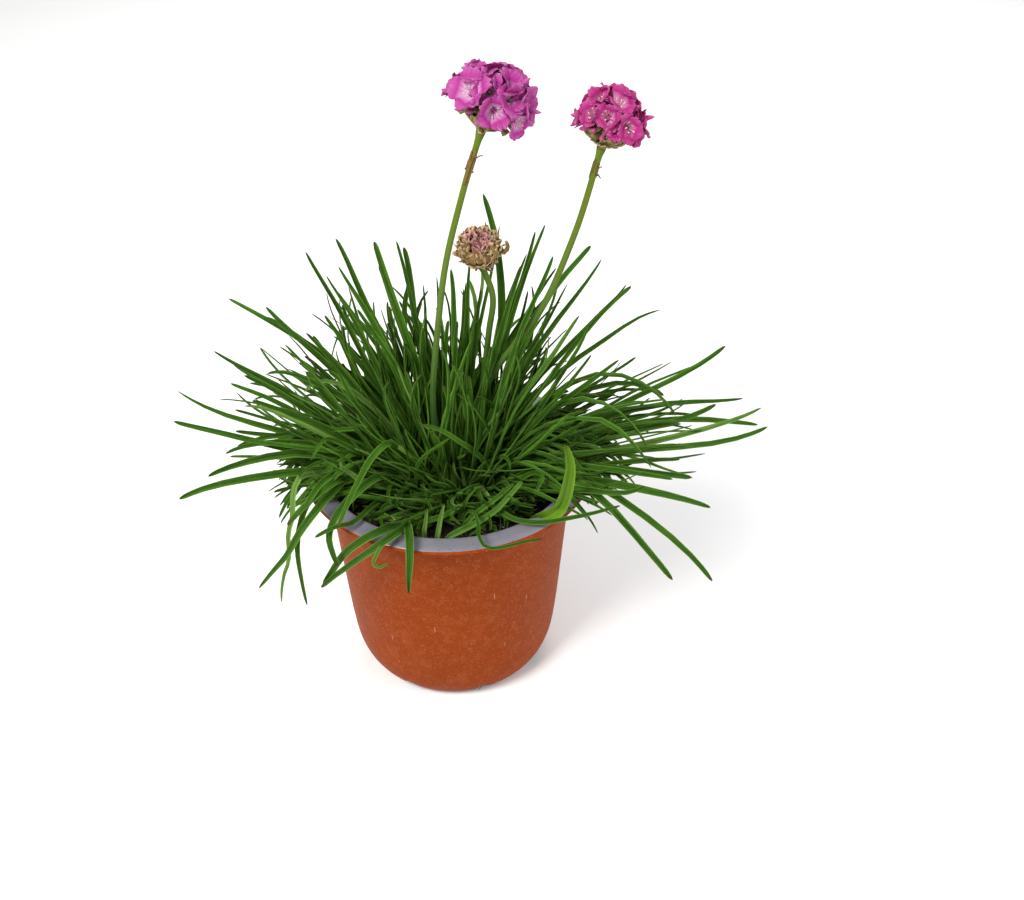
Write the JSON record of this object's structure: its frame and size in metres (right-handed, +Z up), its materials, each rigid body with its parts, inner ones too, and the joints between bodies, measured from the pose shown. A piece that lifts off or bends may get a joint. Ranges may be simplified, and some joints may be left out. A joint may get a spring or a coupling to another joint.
{
  "type": "potted sea thrift",
  "caption": "Flowering sea thrift in a thin round nursery pot: a dense tuft of linear leaves, pink ball-shaped flower heads and a dried head on bare stalks.",
  "frame": {"origin": "centre of the pot's flat base, where it stands on a table", "axes": "+Z up along the pot's axis, -Y towards the shown front, +X to the right"},
  "size_m": [0.206, 0.1267, 0.2352],
  "materials": {
    "pot_plastic": "satin",
    "soil": "matte",
    "leaf": "satin",
    "bright_leaf": "satin",
    "stalk": "satin",
    "sheath": "matte",
    "bract": "matte",
    "pink_petal": "satin",
    "magenta_petal": "satin",
    "dried_floret": "matte"
  },
  "bodies": {
    "root": {"pot": "pot_plastic", "soil": "soil", "leaf_tuft": "leaf", "front_rosette": "leaf", "broad_leaf": "bright_leaf", "stalk_tall": "stalk", "stalk_side": "stalk", "stalk_dried": "stalk", "sheath_tall": "sheath", "sheath_side": "sheath", "bracts_tall": "bract", "florets_tall": "pink_petal", "bracts_side": "bract", "florets_side": "magenta_petal", "dried_head": "dried_floret"}
  },
  "joints": []
}
